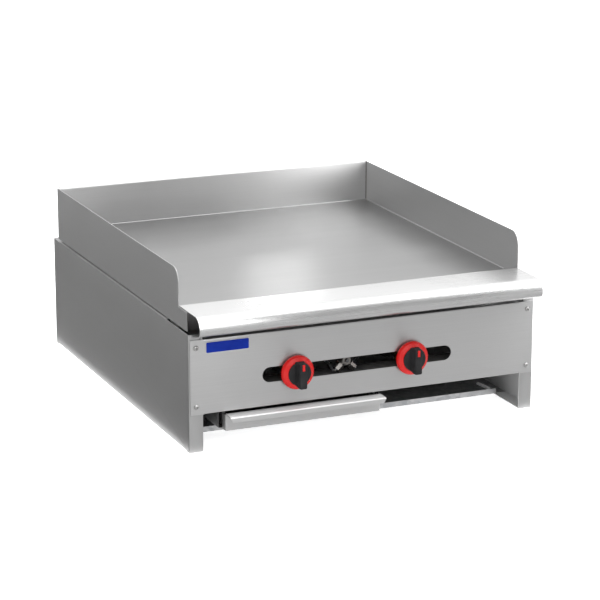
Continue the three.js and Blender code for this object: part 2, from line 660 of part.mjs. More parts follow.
// ---------------------------------------------------------------- grease drawer
function drawerTray() {
  const x = [DRAWER.left + 4.5, DRAWER.right - 4.5];
  const y = [SHEET + GAP, DRAWER.back];
  const z = [DRAWER.bottom + 1.5, DRAWER.top - 3];
  const hem = block([x[0] - 3, x[1] + 3], [y[0] + 16, y[1]], [z[1] - THIN, z[1]]);
  const inside = block(
    [x[0] + THIN, x[1] - THIN],
    [y[0] + THIN, y[1] - THIN],
    [z[0] + THIN, z[1] + 10],
  );
  return piece('drawer_tray', cut(join(block(x, y, z), hem), inside), ZINC_SHEET);
}

function drawerFront() {
  const { left, right, bottom, top } = DRAWER;
  const half = SHEET / 2;
  const lipFront = -HANDLE.reach;
  const path = [[half, bottom], [half, top - half], [lipFront + 0.5, top - half]];
  const face = prismX(bentSheet(path, SHEET), [left, right]);
  const drop = [[left, top], [left, top - SHEET], [left + HANDLE.mitre, top - HANDLE.drop],
    [right - HANDLE.mitre, top - HANDLE.drop], [right, top - SHEET], [right, top]];
  const fold = prismY(drop, [lipFront, lipFront + SHEET]);
  const wingSpans = [[left, left + SHEET], [right - SHEET, right]];
  const wings = wingSpans.map((x) => block(x, [0.2, 15], [bottom, top - 1]));
  return piece('drawer_front', join(face, fold, ...wings), SATIN_STEEL);
}

function drawerGuide(name, side) {
  const edge = side < 0 ? DRAWER.left : DRAWER.right;
  const web = edge + side * GUIDE.clearance;
  const roof = LOWER_SHIELD.bottom - GAP - THIN / 2;
  const floor = DRAWER.bottom + THIN / 2;
  const path = [
    [web + side * GUIDE.wing, roof],
    [web, roof],
    [web, floor],
    [web - side * GUIDE.lip, floor],
  ];
  return piece(name, prismY(bentSheet(path, THIN), [GUIDE.front, GUIDE.back]), ZINC_SHEET);
}

// ---------------------------------------------------------------- whole griddle
const casing = groupAt(
  [0, 0, 0],
  sidePanel('left_side_panel', -1),
  sidePanel('right_side_panel', 1),
  rearPanel(),
  basePan(),
  panStopRod(),
  controlPanel(),
  ...caseScrews(),
  badge(),
  controlShield(),
  lowerShield(),
);

const cookingTop = groupAt(
  [0, 0, 0],
  griddlePlate(),
  sideSplash('left_splash', -1),
  sideSplash('right_splash', 1),
  backSplash(),
  greaseTrough(),
  greaseChute(),
  frontLedge(),
  plateRail('front_plate_rail', 97),
  plateRail('rear_plate_rail', 622),
);

const gasSystem = groupAt(
  [0, 0, 0],
  manifold(),
  manifoldCap(),
  inletElbow(),
  supplyPipe(),
  rearBurnerRail(),
  ...BURNERS.map(burner),
  ...BURNERS.map(airShutter),
  ...BURNERS.map(valveTrain),
  pilotSet(),
  ...BURNERS.map(pilotBurner),
);

const greaseDrawer = groupAt(
  [0, 0, 0],
  drawerTray(),
  drawerFront(),
  drawerGuide('left_drawer_guide', -1),
  drawerGuide('right_drawer_guide', 1),
);

const footprintCentre = (LEDGE.front + SUPPLY.end) / 2;
const griddle = groupAt([0, -footprintCentre, 0], casing, cookingTop, gasSystem, greaseDrawer);
griddle.name = 'flat_top_griddle';

export default griddle;
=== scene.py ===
import json
import math

import bmesh
import bpy
from mathutils import Matrix, Vector


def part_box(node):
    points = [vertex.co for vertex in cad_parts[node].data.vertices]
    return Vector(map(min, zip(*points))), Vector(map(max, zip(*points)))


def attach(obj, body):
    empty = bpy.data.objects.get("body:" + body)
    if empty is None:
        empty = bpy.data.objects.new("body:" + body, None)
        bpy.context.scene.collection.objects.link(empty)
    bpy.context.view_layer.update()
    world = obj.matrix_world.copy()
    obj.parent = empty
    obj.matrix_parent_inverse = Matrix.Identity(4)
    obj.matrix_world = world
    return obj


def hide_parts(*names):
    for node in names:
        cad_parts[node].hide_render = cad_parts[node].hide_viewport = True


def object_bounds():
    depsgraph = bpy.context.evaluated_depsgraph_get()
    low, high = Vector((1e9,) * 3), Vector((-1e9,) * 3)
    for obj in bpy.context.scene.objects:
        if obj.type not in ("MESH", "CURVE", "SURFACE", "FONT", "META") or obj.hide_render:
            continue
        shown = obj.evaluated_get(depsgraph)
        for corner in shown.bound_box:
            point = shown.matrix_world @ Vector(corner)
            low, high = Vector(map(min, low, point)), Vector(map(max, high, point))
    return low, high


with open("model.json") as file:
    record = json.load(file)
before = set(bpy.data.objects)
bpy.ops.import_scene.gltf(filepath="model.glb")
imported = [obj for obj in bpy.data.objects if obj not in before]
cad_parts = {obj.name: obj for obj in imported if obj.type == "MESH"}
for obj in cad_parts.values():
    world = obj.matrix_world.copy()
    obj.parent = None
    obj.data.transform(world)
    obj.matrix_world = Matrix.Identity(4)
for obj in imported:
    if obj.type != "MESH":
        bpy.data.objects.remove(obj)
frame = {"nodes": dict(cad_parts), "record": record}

CAD_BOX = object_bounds()
MM = 0.001
scene = bpy.context.scene

SLOT_OF = {row["node"]: row["material_slot"] for row in frame["record"]["subparts"]}
BODY_OF = {node: body for body, nodes in frame["record"]["behaviour"]["bodies"].items() for node in nodes}
FLANGE_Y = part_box("left_side_panel")[0].y  # plane of the case's front flanges

# ------------------------------------------------------------------ camera
CAMERA_PLACE = (-1.63658, -3.89820, 1.30075)
CAMERA_YAW = 23.1269  # degrees, from +Y towards +X
CAMERA_PITCH = 15.4366  # degrees, down
FOCAL_LENGTH = 152.288  # mm, on a 36 mm sensor


def make_camera():
    data = bpy.data.cameras.new("studio_camera")
    data.lens = FOCAL_LENGTH
    data.sensor_width = 36
    data.clip_start = 0.05
    data.clip_end = 60
    camera = bpy.data.objects.new("studio_camera", data)
    camera.location = CAMERA_PLACE
    camera.rotation_euler = (math.radians(90 - CAMERA_PITCH), 0, math.radians(-CAMERA_YAW))
    scene.collection.objects.link(camera)
    scene.camera = camera


# ------------------------------------------------------------------ material kit
class Shade:
    """A Principled material with the few node patterns that the finishes share."""

    def __init__(self, name, **sockets):
        self.material = bpy.data.materials.new(name)
        self.material.use_nodes = True
        self.tree = self.material.node_tree
        self.shader = self.tree.nodes["Principled BSDF"]
        self.coordinates = self.tree.nodes.new("ShaderNodeTexCoord").outputs["Object"]
        for socket, value in sockets.items():
            self.shader.inputs[socket.replace("_", " ")].default_value = value

    def link(self, source, target):
        self.tree.links.new(source, target)

    def stretched(self, stretch):
        mapping = self.tree.nodes.new("ShaderNodeMapping")
        mapping.inputs["Scale"].default_value = stretch
        self.link(self.coordinates, mapping.inputs["Vector"])
        return mapping.outputs["Vector"]

    def noise(self, stretch, detail=3.0, roughness=0.55, distortion=0.0):
        texture = self.tree.nodes.new("ShaderNodeTexNoise")
        texture.inputs["Scale"].default_value = 1.0
        texture.inputs["Detail"].default_value = detail
        texture.inputs["Roughness"].default_value = roughness
        texture.inputs["Distortion"].default_value = distortion
        self.link(self.stretched(stretch), texture.inputs["Vector"])
        return texture.outputs["Fac"]

    def cells(self, scale, output="Color"):
        texture = self.tree.nodes.new("ShaderNodeTexVoronoi")
        texture.inputs["Scale"].default_value = scale
        self.link(self.coordinates, texture.inputs["Vector"])
        return texture.outputs[output]

    def ranged(self, value, source, target):
        """Maps value from one range to another, clamped."""
        node = self.tree.nodes.new("ShaderNodeMapRange")
        for socket, number in zip(("From Min", "From Max", "To Min", "To Max"), (*source, *target)):
            node.inputs[socket].default_value = number
        self.link(value, node.inputs["Value"])
        return node.outputs["Result"]

    def grain(self, axis):
        """Turns the stretched highlight of brushed metal across lines that run along an axis."""
        normal = self.tree.nodes.new("ShaderNodeNewGeometry").outputs["Normal"]
        across = self.tree.nodes.new("ShaderNodeVectorMath")
        across.operation = "CROSS_PRODUCT"
        across.inputs[1].default_value = tuple(1.0 if name == axis else 0.0 for name in "xyz")
        self.link(normal, across.inputs[0])
        self.link(across.outputs["Vector"], self.shader.inputs["Tangent"])

    def math(self, operation, first, second):
        node = self.tree.nodes.new("ShaderNodeMath")
        node.operation = operation
        for socket, value in zip(node.inputs, (first, second)):
            if isinstance(value, (int, float)):
                socket.default_value = value
            else:
                self.link(value, socket)
        return node.outputs["Value"]

    def mixed(self, factor, first, second):
        """Colour between two colours or colour outputs."""
        node = self.tree.nodes.new("ShaderNodeMix")
        node.data_type = "RGBA"
        self.link(factor, node.inputs["Factor"])
        for socket, value in ((node.inputs[6], first), (node.inputs[7], second)):
            if isinstance(value, tuple):
                socket.default_value = (*value, 1.0)
            else:
                self.link(value, socket)
        return node.outputs[2]

    def bump(self, height, distance, strength=1.0):
        node = self.tree.nodes.new("ShaderNodeBump")
        node.inputs["Strength"].default_value = strength
        node.inputs["Distance"].default_value = distance
        self.link(height, node.inputs["Height"])
        if self.shader.inputs["Normal"].is_linked:
            self.link(self.shader.inputs["Normal"].links[0].from_socket, node.inputs["Normal"])
        self.link(node.outputs["Normal"], self.shader.inputs["Normal"])

    def colour(self, output):
        self.link(output, self.shader.inputs["Base Color"])

    def roughness(self, output):
        self.link(output, self.shader.inputs["Roughness"])


def grey(value):
    return (value, value, value)


def along(axis, length, width):
    """Noise stretch for lines that run along an axis, from their length and width in metres."""
    return tuple(1 / length if name == axis else 1 / width for name in "xyz")


def brushed(name, tone, roughness, axis, contrast=0.035, smudge=0.05, haze=0.0, stretch=0.75):
    """Brushed stainless sheet: fine lines along one axis, with faint hand smudges over them."""
    shade = Shade(name, Metallic=1.0 - haze, Anisotropic=stretch)
    shade.grain(axis)
    fine = shade.noise(along(axis, 0.12, 0.0008), detail=2.0)
    medium = shade.noise(along(axis, 0.25, 0.0022), detail=2.0)
    cloud = shade.noise((6.0, 6.0, 6.0), detail=4.0, distortion=0.6)
    lines = shade.math("ADD", shade.math("MULTIPLY", fine, 0.7), shade.math("MULTIPLY", medium, 0.3))
    blend = shade.math("ADD", shade.math("MULTIPLY", lines, 0.7), shade.math("MULTIPLY", cloud, 0.3))
    factor = shade.ranged(blend, (0.34, 0.66), (0.0, 1.0))
    shade.colour(shade.mixed(factor, grey(tone * (1 - contrast)), grey(min(tone * (1 + contrast), 0.98))))
    worn = shade.math("ADD", shade.math("MULTIPLY", fine, 0.5), shade.math("MULTIPLY", cloud, 0.5))
    shade.roughness(shade.ranged(worn, (0.35, 0.65), (roughness - smudge / 2, roughness + smudge / 2)))
    shade.bump(lines, 0.000012, 0.3)
    return shade.material


def ground_plate(name):
    """Ground cooking plate: long fine grinding lines under soft heat clouds."""
    shade = Shade(name, Metallic=1.0, Anisotropic=0.45)
    shade.grain("x")
    lines = shade.noise(along("x", 0.14, 0.0010), detail=3.0)
    bands = shade.noise(along("x", 0.7, 0.03), detail=2.0)
    cloud = shade.noise((5.0, 4.0, 5.0), detail=5.0, distortion=0.8)
    blend = shade.math("ADD", shade.math("MULTIPLY", lines, 0.35), shade.math("MULTIPLY", bands, 0.25))
    blend = shade.math("ADD", blend, shade.math("MULTIPLY", cloud, 0.4))
    factor = shade.ranged(blend, (0.36, 0.64), (0.0, 1.0))
    shade.colour(shade.mixed(factor, grey(0.285), grey(0.315)))
    shade.roughness(shade.ranged(cloud, (0.3, 0.7), (0.31, 0.37)))
    shade.bump(lines, 0.00002, 0.35)
    return shade.material


def zinc(name, tone):
    """Zinc-coated sheet: faint spangle crystals under a dull cloudy skin."""
    shade = Shade(name, Metallic=0.85)
    separate = shade.tree.nodes.new("ShaderNodeSeparateColor")
    shade.link(shade.cells(110.0), separate.inputs["Color"])
    spangle = separate.outputs["Red"]
    cloud = shade.noise((14.0, 14.0, 14.0), detail=5.0)
    blend = shade.math("ADD", shade.math("MULTIPLY", spangle, 0.45), shade.math("MULTIPLY", cloud, 0.55))
    factor = shade.ranged(blend, (0.2, 0.8), (0.0, 1.0))
    shade.colour(shade.mixed(factor, tuple(tone * part for part in (0.80, 0.82, 0.84)), grey(tone * 1.12)))
    shade.roughness(shade.ranged(blend, (0.2, 0.8), (0.62, 0.40)))
    shade.bump(spangle, 0.00002, 0.35)
    return shade.material


def rough_iron(name, dark, light, rust=0.0):
    """Burner or pipe iron: pitted, semi-matte, with a little rust bloom."""
    shade = Shade(name, Metallic=0.75)
    pits = shade.noise((900.0, 900.0, 900.0), detail=4.0)
    cloud = shade.noise((24.0, 24.0, 24.0), detail=6.0, distortion=0.5)
    skin = shade.mixed(shade.ranged(cloud, (0.35, 0.65), (0.0, 1.0)), dark, light)
    bloom = shade.ranged(shade.noise((60.0, 60.0, 60.0), detail=6.0), (0.60, 0.72), (0.0, rust))
    shade.colour(shade.mixed(bloom, skin, (0.16, 0.07, 0.035)))
    shade.roughness(shade.ranged(cloud, (0.3, 0.7), (0.5, 0.72)))
    shade.bump(pits, 0.00012, 0.6)
    return shade.material


def turned_metal(name, dark, light, roughness, axis="y", metallic=1.0):
    """Machined or plated fitting: ring-like turning marks and light tarnish."""
    shade = Shade(name, Metallic=metallic)
    marks = shade.noise(along(axis, 0.00035, 0.03), detail=2.0)
    cloud = shade.noise((70.0, 70.0, 70.0), detail=4.0)
    blend = shade.math("ADD", shade.math("MULTIPLY", marks, 0.5), shade.math("MULTIPLY", cloud, 0.5))
    shade.colour(shade.mixed(shade.ranged(blend, (0.35, 0.65), (0.0, 1.0)), dark, light))
    shade.roughness(shade.ranged(cloud, (0.3, 0.7), (roughness - 0.05, roughness + 0.08)))
    shade.bump(marks, 0.00002, 0.4)
    return shade.material


def moulded(name, dark, light, roughness, grain, gloss=0.5):
    """Moulded plastic or enamel: fine orange-peel skin, slight colour drift and rubbed patches."""
    shade = Shade(name, Metallic=0.0, IOR=1.4, Specular_IOR_Level=gloss)
    peel = shade.noise((grain, grain, grain), detail=2.0)
    cloud = shade.noise((55.0, 55.0, 55.0), detail=4.0)
    shade.colour(shade.mixed(shade.ranged(cloud, (0.3, 0.7), (0.0, 1.0)), dark, light))
    shade.roughness(shade.ranged(cloud, (0.3, 0.7), (roughness - 0.04, roughness + 0.07)))
    shade.bump(peel, 0.00004, 0.35)
    return shade.material


def make_materials():
    return {
        "front": brushed("brushed_stainless_front", 0.56, 0.34, "x"),
        "back": brushed("brushed_stainless_back", 0.46, 0.33, "x", stretch=0.70),
        # Same stainless as the front, but with a darker tone (0.41 against 0.56): painted shade on the sides.
        # The grain along Y is their own.
        "side": brushed("brushed_stainless_side_painted_shade", 0.41, 0.34, "y", haze=0.12),
        "mill": brushed("mill_finish_inner_face", 0.66, 0.45, "y", haze=0.6, stretch=0.3),
        "drawer": brushed("brushed_stainless_drawer", 0.53, 0.36, "x", haze=0.15),
        # Lighter, hazier copy of the drawer stainless for the lip's up-facing faces: painted light on the
        # lip's top.
        "lip": brushed("brushed_stainless_lip_top_painted_light", 0.72, 0.36, "x", haze=0.50, stretch=0.5),
        "ledge": brushed("polished_stainless_ledge", 0.58, 0.28, "x", contrast=0.05, stretch=0.6),
        "plate": ground_plate("ground_griddle_steel"),
        "zinc": zinc("zinc_coated_sheet", 0.48),
        # Darker zinc for the heat shields, grease chute and the pan's inner faces: partly heat stain, partly
        # painted shade inside the case.
        "shield": zinc("heat_stain_and_painted_shade_zinc_sheet", 0.42),
        # Near-black zinc: painted shade on the drawer guides, which stand in shadow beside the drawer; on the
        # pilot adjuster it is that part's own dark finish.
        "guide": zinc("dark_zinc_and_painted_shade_sheet", 0.16),
        "iron": rough_iron("burner_iron", (0.035, 0.032, 0.030), (0.075, 0.070, 0.066), rust=0.55),
        "pipe": rough_iron("black_gas_pipe", (0.060, 0.060, 0.060), (0.110, 0.108, 0.105), rust=0.12),
        "brass": turned_metal("turned_brass", (0.46, 0.31, 0.11), (0.66, 0.48, 0.21), 0.30),
        "bright": turned_metal("bright_plated_steel", (0.58, 0.58, 0.58), (0.80, 0.80, 0.79), 0.20),
        "screw": turned_metal("plated_screw_steel", (0.36, 0.36, 0.36), (0.52, 0.52, 0.51), 0.24),
        "nickel": turned_metal("dull_nickel_fitting", (0.20, 0.19, 0.18), (0.42, 0.40, 0.38), 0.42),
        # Near-white, mostly non-metallic rod tone: painted highlight, standing in for the bright reflection
        # along the pan stop rod.
        "rod": turned_metal("whitened_rod_painted_highlight", (0.84, 0.84, 0.84), (0.94, 0.94, 0.94), 0.34, metallic=0.20),
        # Dark tan for the back splash's rounded edges: the sheet edge's own tone, and painted shade along its
        # folds.
        "rim": turned_metal("sheared_rim_and_painted_crease_shade", (0.15, 0.125, 0.09), (0.22, 0.19, 0.15), 0.50, metallic=0.3),
        "weld": turned_metal("heat_tinted_weld", (0.10, 0.09, 0.08), (0.20, 0.18, 0.16), 0.45),
        "aluminium": turned_metal("aluminium_tube", (0.66, 0.67, 0.68), (0.84, 0.85, 0.86), 0.32),
        "red": moulded("red_moulded_plastic", (0.38, 0.004, 0.004), (0.44, 0.007, 0.006), 0.36, 1800.0, 0.35),
        "black": moulded("black_moulded_plastic", (0.008, 0.008, 0.009), (0.016, 0.016, 0.017), 0.58,
                         2600.0, 0.3),
        "blue": moulded("blue_enamel", (0.0003, 0.011, 0.16), (0.0004, 0.015, 0.20), 0.34, 900.0, 0.12),
        "border": moulded("pale_enamel_border", (0.56, 0.55, 0.53), (0.64, 0.63, 0.61), 0.30, 900.0),
    }


MATERIALS = make_materials()
SLOT_MATERIAL = {
    "satin_stainless": "front",
    "polished_stainless": "ledge",
    "griddle_plate_steel": "plate",
    "zinc_sheet": "zinc",
    "burner_iron": "iron",
    "black_pipe": "pipe",
    "brass": "brass",
    "bright_metal": "bright",
    "aluminium_tube": "aluminium",
    "red_plastic": "red",
    "black_plastic": "black",
    "badge_blue": "blue",
}
NODE_MATERIAL = {
    # Side panels and side splashes take the darker stainless with the painted shade.
    "left_side_panel": "side",
    "right_side_panel": "side",
    "left_splash": "side",
    "right_splash": "side",
    "back_splash": "back",
    "grease_chute": "shield",
    "control_heat_shield": "shield",
    "lower_heat_shield": "shield",
    "left_drawer_guide": "guide",
    "right_drawer_guide": "guide",
    "pan_stop_rod": "rod",
    "pilot_valve": "nickel",
    "pilot_adjuster": "guide",
    "left_pilot_nut": "nickel",
    "right_pilot_nut": "nickel",
}


def material_of(node):
    return MATERIALS[NODE_MATERIAL.get(node, SLOT_MATERIAL[SLOT_OF[node]])]


# ------------------------------------------------------------------ mesh kit
def add_piece(name, mesh, body, material, stands_for=()):
    piece = bpy.data.objects.new(name, mesh)
    scene.collection.objects.link(piece)
    mesh.materials.clear()
    mesh.materials.append(material)
    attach(piece, body)
    if stands_for:
        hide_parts(*stands_for)
    return piece


def finish_mesh(name, bm, crease=32.0):
    """Writes a mesh with outward normals, smooth where faces meet below the crease angle."""
    loose = [edge for edge in bm.edges if edge.is_wire]
    bmesh.ops.delete(bm, geom=loose, context="EDGES")
    bmesh.ops.recalc_face_normals(bm, faces=bm.faces)
    limit = math.radians(crease)
    for face in bm.faces:
        face.smooth = True
    for edge in bm.edges:
        edge.smooth = len(edge.link_faces) == 2 and edge.calc_face_angle(0.0) < limit
    mesh = bpy.data.meshes.new(name)
    bm.to_mesh(mesh)
    bm.free()
    return mesh


def soften(piece, width, segments=2, angle=32.0):
    """Rounds the hard edges of a piece, as folded, cut and deburred sheet has them."""
    bevel = piece.modifiers.new("edge_rounding", "BEVEL")
    bevel.width = width
    bevel.segments = segments
    bevel.limit_method = "ANGLE"
    bevel.angle_limit = math.radians(angle)
    bevel.harden_normals = True
    bevel.miter_outer = "MITER_SHARP"
    return piece


def painted(piece, look, chosen):
    """Gives the faces for which chosen(centre, normal) is true another look."""
    piece.data.materials.append(MATERIALS[look])
    for face in piece.data.polygons:
        face.material_index = int(chosen(face.center, face.normal))
    return piece


def dressed(node, edge=0.0003, segments=2, crease=32.0):
    """The CAD shape of a node, cleaned to whole faces and given rounded edges and smooth curves."""
    source = frame["nodes"][node]
    bm = bmesh.new()
    bm.from_mesh(source.data)
    bmesh.ops.remove_doubles(bm, verts=bm.verts, dist=2e-6)
    bmesh.ops.dissolve_limit(bm, angle_limit=math.radians(0.4), verts=bm.verts, edges=bm.edges)
    mesh = finish_mesh(f"{node}_detail", bm, crease)
    piece = add_piece(mesh.name, mesh, BODY_OF[node], material_of(node), (node,))
    if edge:
        soften(piece, edge, segments, crease)
    return piece


def lathe(profile, segments, centre=(0.0, 0.0, 0.0)):
    """Body of revolution about a line along Y; profile is [radius, y] round a closed section."""
    bm = bmesh.new()
    origin = Vector(centre)
    rings = []
    for radius, y in profile:
        count = 1 if radius < 1e-9 else segments
        turn = [2 * math.pi * k / segments for k in range(count)]
        points = [origin + Vector((radius * math.cos(t), y, radius * math.sin(t))) for t in turn]
        rings.append([bm.verts.new(point) for point in points])
    for first, second in zip(rings, rings[1:] + rings[:1]):
        for k in range(segments):
            after = (k + 1) % segments
            corners = [first[k % len(first)], first[after % len(first)],
                       second[after % len(second)], second[k % len(second)]]
            unique = [c for i, c in enumerate(corners) if c not in corners[:i]]
            if len(unique) > 2:
                bm.faces.new(unique)
    return bm


def rounded_path(points, steps=4):
    """Closed outline with each corner [a, b, radius] turned into an arc."""
    out = []
    count = len(points)
    for i, (a, b, radius) in enumerate(points):
        here = Vector((a, b))
        before = (Vector(points[i - 1][:2]) - here)
        after = (Vector(points[(i + 1) % count][:2]) - here)
        if radius <= 0:
            out.append(tuple(here))
            continue
        half = before.angle(after) / 2
        reach = min(radius / math.tan(half), before.length * 0.49, after.length * 0.49)
        start, end = here + before.normalized() * reach, here + after.normalized() * reach
        for k in range(steps + 1):
            t = k / steps
            out.append(tuple(start * (1 - t) ** 2 + here * (2 * t * (1 - t)) + end * t ** 2))
    return out


def sheet_outline(path, thickness, steps=6):
    """Outline of bent sheet about its mid-line; path is [a, b, bend radius]."""
    corners = [Vector(p[:2]) for p in path]
    headings = [(b - a).normalized() for a, b in zip(corners, corners[1:])]
    line = [(corners[0], headings[0])]
    for corner, radius, enter, leave in zip(corners[1:], [p[2] for p in path[1:]], headings, headings[1:]):
        turn = math.atan2(enter.x * leave.y - enter.y * leave.x, enter.dot(leave))
        start = corner - enter * radius * math.tan(abs(turn) / 2)
        side = Vector((-enter.y, enter.x)) * math.copysign(radius, turn)
        for k in range(steps + 1):
            swing = Matrix.Rotation(turn * k / steps, 2)
            line.append((start + side - swing @ side, swing @ enter))
    line.append((corners[-1], headings[-1]))
    offset = [Vector((-h.y, h.x)) * thickness / 2 for _, h in line]
    front = [p + o for (p, _), o in zip(line, offset)]
    back = [p - o for (p, _), o in zip(line, offset)]
    return [tuple(p) for p in front + back[::-1]]


def extruded(outline, ends, axis):
    """Closed prism of an outline. ends gives both end positions, or a function of the point."""
    place = {
        "x": lambda p, e: (e, p[0], p[1]),
        "y": lambda p, e: (p[0], e, p[1]),
        "z": lambda p, e: (p[0], p[1], e),
    }[axis]
    spans = [ends(p) if callable(ends) else ends for p in outline]
    bm = bmesh.new()
    near = [bm.verts.new(place(p, span[0])) for p, span in zip(outline, spans)]
    far = [bm.verts.new(place(p, span[1])) for p, span in zip(outline, spans)]
    count = len(outline)
    for k in range(count):
        after = (k + 1) % count
        bm.faces.new((near[k], near[after], far[after], far[k]))
    bm.faces.new(near)
    bm.faces.new(far[::-1])
    return bm


def helper(name, bm):
    """A temporary object, used as one side of a join or cut."""
    tool = bpy.data.objects.new(name, finish_mesh(name, bm))
    scene.collection.objects.link(tool)
    return tool


def combined(bm, operation, *tools):
    """Joins ("UNION") or cuts ("DIFFERENCE") solids and gives the result as a bmesh."""
    whole = helper("work_body", bm)
    parts = [helper(f"work_tool_{i}", tool) for i, tool in enumerate(tools)]
    for part in parts:
        step = whole.modifiers.new("step", "BOOLEAN")
        step.operation = operation
        step.solver = "EXACT"
        step.object = part
    bpy.context.view_layer.update()
    mesh = bpy.data.meshes.new_from_object(whole.evaluated_get(bpy.context.evaluated_depsgraph_get()))
    result = bmesh.new()
    result.from_mesh(mesh)
    for temporary in (whole, *parts):
        bpy.data.objects.remove(temporary)
    bpy.data.meshes.remove(mesh)
    bmesh.ops.remove_doubles(result, verts=result.verts, dist=1e-6)
    return result


def scaled_profile(profile):
    return [(r * MM, y * MM) for r, y in profile]


# ------------------------------------------------------------------ sheet metal
def make_casing():
    def faces_inwards(centre, normal):
        return centre.x * normal.x < -0.9 * abs(centre.x) or abs(normal.z) > 0.9 and centre.z < 2 * MM

    for node in ("left_side_panel", "right_side_panel"):
        painted(dressed(node, 0.0005, 3), "mill", faces_inwards)
    dressed("rear_panel", 0.0003)
    dressed("front_control_panel", 0.0003)
    # All but the front-facing faces of the base pan get the darker zinc: painted shade on the pan floor inside
    # the case.
    painted(dressed("base_pan", 0.0002), "shield", lambda centre, normal: normal.y > -0.9)
    dressed("control_heat_shield", 0.0002)
    dressed("lower_heat_shield", 0.0002)
    for node in ("front_plate_rail", "rear_plate_rail", "rear_burner_rail"):
        dressed(node, 0.0003)
    for node in ("left_drawer_guide", "right_drawer_guide"):
        dressed(node, 0.0003)
    dressed("pan_stop_rod", 0.0, crease=60.0)


def make_cooking_top():
    dressed("griddle_plate", 0.0010, 3)
    dressed("left_splash", 0.0004, 3, crease=25.0)
    dressed("right_splash", 0.0004, 3, crease=25.0)
    # Every rounded edge of the back splash, folds included, gets the dark rim colour: edge tone, and a painted
    # shade line at the hem fold.
    back = painted(dressed("back_splash", 0.0005), "rim", lambda centre, normal: False)
    back.modifiers["edge_rounding"].material = 1
    dressed("grease_trough", 0.0003)
    dressed("grease_chute", 0.0003)
    dressed("front_ledge", 0.00045, 3)


def weld_bead(name, start, end, inward, up=Vector((0, 0, 1)), radius=0.8 * MM, look="plate"):
    """Ground fillet weld in the corner between two sheets, with a faint stack-of-coins ripple."""
    run = end - start
    rings = int(run.length / (2.4 * MM))
    bm = bmesh.new()
    previous = None
    for k in range(rings + 1):
        centre = start + run * (k / rings)
        size = radius * (1 + 0.10 * math.sin(k * math.pi / 2))
        corner = centre - up * 0.4 * MM - inward * 0.4 * MM
        section = [corner, corner + inward * (size + 0.4 * MM)]
        for step in range(1, 4):
            angle = math.pi / 2 * step / 4
            dip = Vector(inward) * (1 - math.sin(angle)) + up * (1 - math.cos(angle))
            section.append(centre + dip * size)
        section.append(corner + up * (size + 0.4 * MM))
        ring = [bm.verts.new(p) for p in section]
        if previous:
            for i in range(len(ring)):
                j = (i + 1) % len(ring)
                bm.faces.new((previous[i], previous[j], ring[j], ring[i]))
        else:
            bm.faces.new(ring[::-1])
        previous = ring
    bm.faces.new(previous)
    add_piece(name, finish_mesh(name, bm, 60.0), "chassis", MATERIALS[look])


def make_welds():
    low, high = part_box("griddle_plate")
    inset = 0.2 * MM
    y0, y1, z = low.y + 2 * MM, high.y - inset, high.z
    weld_bead("left_weld_bead", Vector((low.x, y0, z)), Vector((low.x, y1, z)), Vector((1, 0, 0)))
    weld_bead("right_weld_bead", Vector((high.x, y0, z)), Vector((high.x, y1, z)), Vector((-1, 0, 0)))
    rear_start, rear_end = Vector((low.x + inset, high.y, z)), Vector((high.x - inset, high.y, z))
    weld_bead("rear_weld_bead", rear_start, rear_end, Vector((0, -1, 0)))
    foot, head = z + 1.2 * MM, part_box("right_splash")[1].z - 1.0 * MM
    for side, x, inward in (("left", low.x, 1), ("right", high.x, -1)):
        weld_bead(f"{side}_corner_weld", Vector((x, high.y, foot)), Vector((x, high.y, head)),
                  Vector((inward, 0, 0)), Vector((0, -1, 0)), 0.7 * MM, "weld")


# ------------------------------------------------------------------ grease drawer
def make_drawer():
    dressed("drawer_tray", 0.0003)
    low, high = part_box("drawer_front")
    sheet = 1.5 * MM
    half = sheet / 2
    bend = 2.2 * MM
    mitre, drop = 3.5 * MM, 9 * MM
    face_y = FLANGE_Y + half
    fold_y = low.y + half
    top = high.z - half
    profile = sheet_outline(
        [(face_y, high.z - 14 * MM, 0), (face_y, top, bend), (fold_y, top, bend), (fold_y, high.z - drop, 0)],
        sheet)

    def mitred(point):
        past = max(0.0, (high.z - 2 * MM) - point[1]) if point[0] < fold_y + bend else 0.0
        inset = mitre * past / (drop - 2 * MM)
        return low.x + inset, high.x - inset

    handle = extruded(profile, mitred, "x")
    deep = high.y - half
    plan = sheet_outline(
        [(low.x + half, deep, 0), (low.x + half, face_y, bend), (high.x - half, face_y, bend),
         (high.x - half, deep, 0)], sheet)
    face = extruded(plan, (low.z, high.z - 4 * MM), "z")
    whole = combined(face, "UNION", handle)
    bmesh.ops.dissolve_limit(whole, angle_limit=math.radians(0.3), verts=whole.verts, edges=whole.edges)
    mesh = finish_mesh("drawer_front_detail", whole)
    piece = add_piece(
        mesh.name, mesh, "grease_drawer", MATERIALS["drawer"], ("drawer_front",))
    # The up-facing faces of the handle lip get the lighter copy: painted light on the lip's top.
    painted(piece, "lip", lambda centre, normal: normal.z > 0.3 and centre.y < FLANGE_Y)
    soften(piece, 0.0003)


# ------------------------------------------------------------------ knobs
KNOB = {
    "skirt": [(8.6, -5.0, 0.2), (28.0, -5.0, 0.6), (28.0, -8.0, 0.9), (26.1, -11.5, 2.0), (20.8, -15.5, 0.7),
              (8.6, -15.5, 0.2)],
    "cap": [(0.0, -17.6, 0.0), (19.5, -17.6, 0.9), (19.5, -15.8, 0.3), (8.1, -15.8, 0.2), (8.1, -6.0, 0.3),
            (0.0, -6.0, 0.0)],
}


